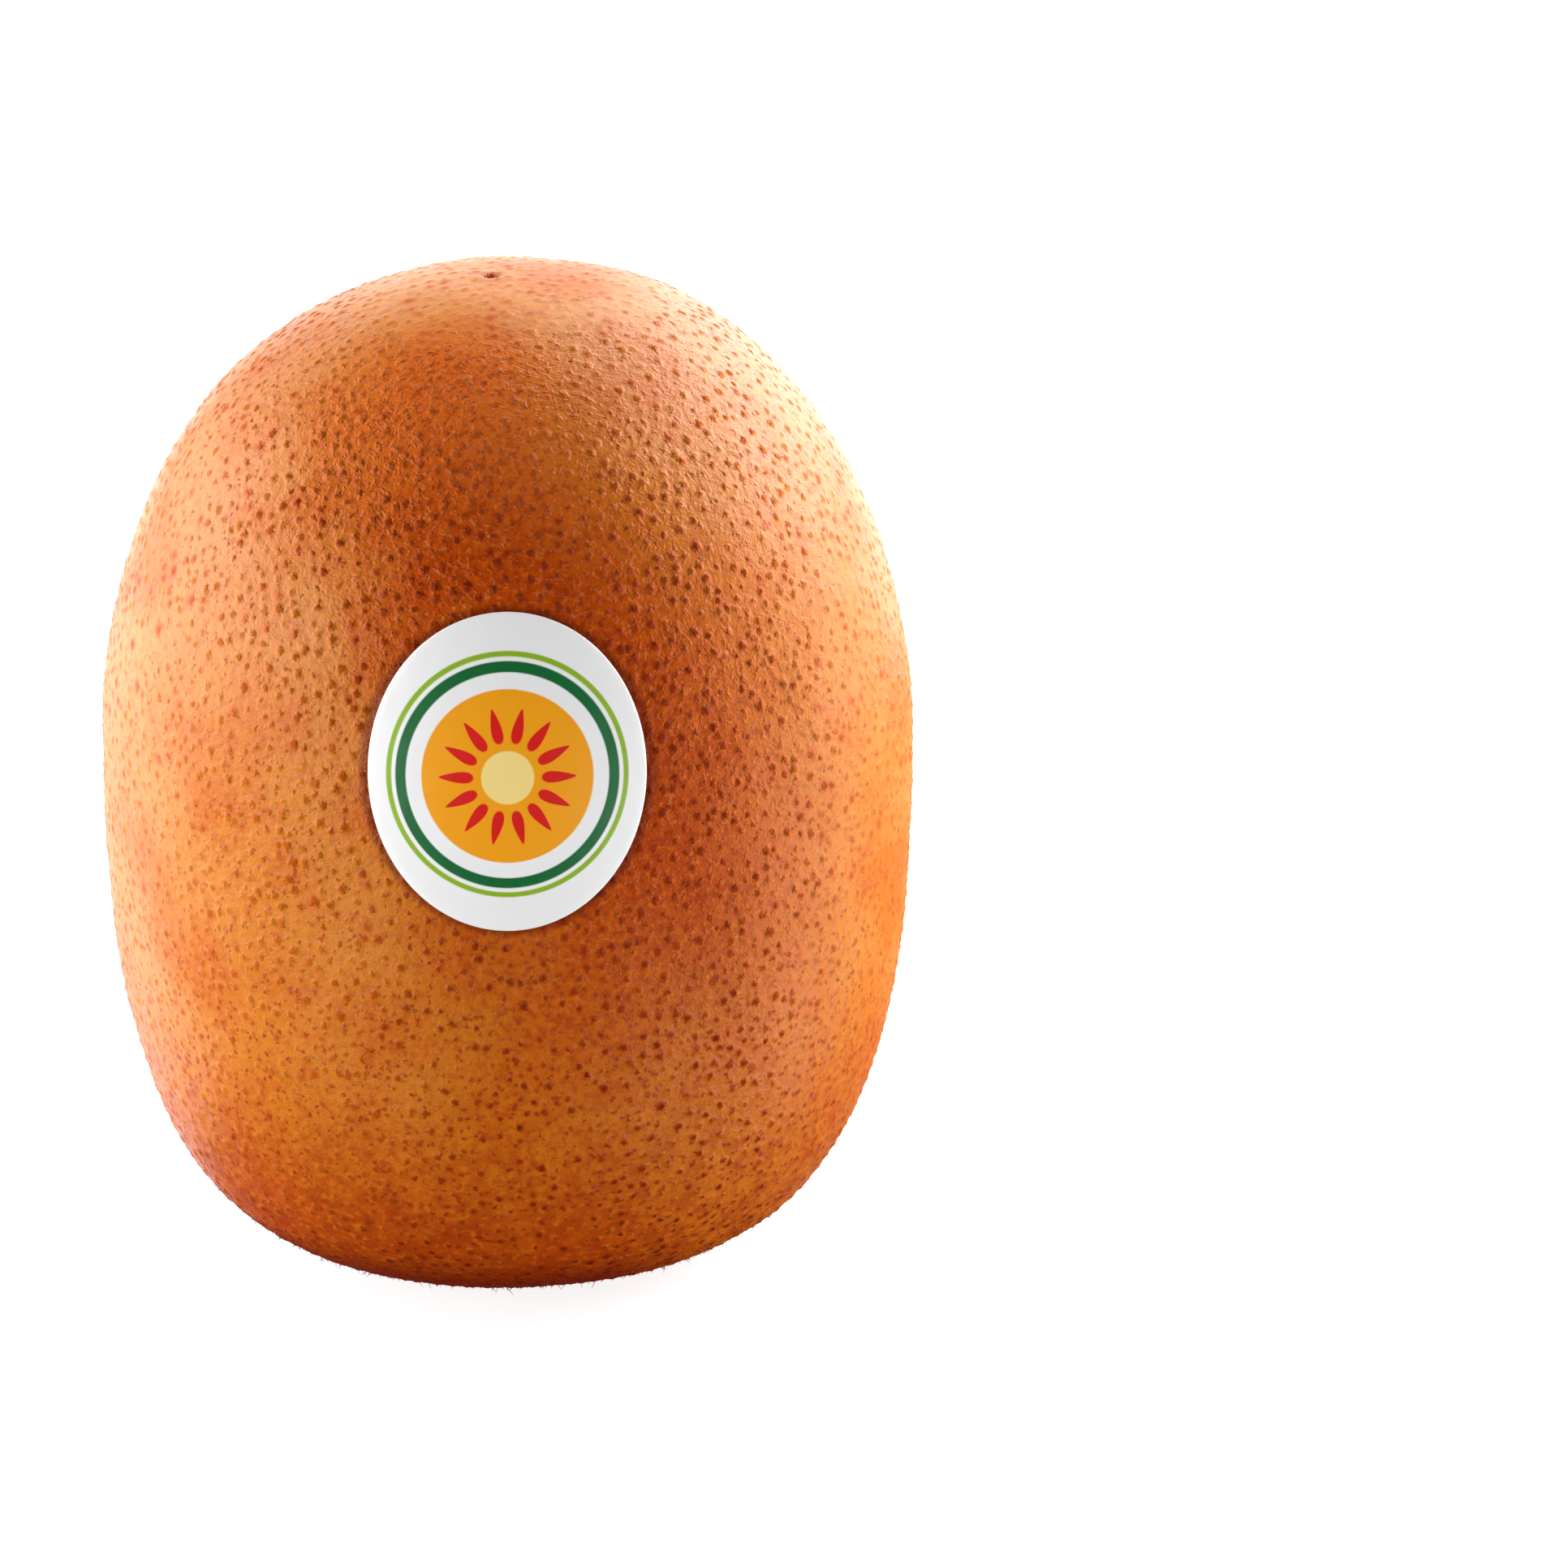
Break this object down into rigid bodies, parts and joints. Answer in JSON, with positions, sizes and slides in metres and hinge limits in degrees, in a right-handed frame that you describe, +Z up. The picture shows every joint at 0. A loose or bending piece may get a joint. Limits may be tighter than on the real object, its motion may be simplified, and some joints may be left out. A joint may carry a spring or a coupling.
{
  "type": "golden kiwi fruit",
  "caption": "Whole smooth-skinned golden kiwi fruit standing on its blunt stem end, with an oval stuck-on label on its side.",
  "frame": {"origin": "middle of the flat resting spot at the stem end, under the middle of the fruit", "axes": "+Z up from the stem end to the flower end, -Y out through the label, +X to the right of the label"},
  "size_m": [0.0552, 0.0542, 0.0684],
  "materials": {
    "kiwi_skin": "matte bronze-brown skin with fine darker raised dots",
    "label_film": null
  },
  "bodies": {
    "root": {"fruit": "kiwi_skin", "fruit_label": "label_film"}
  },
  "joints": []
}
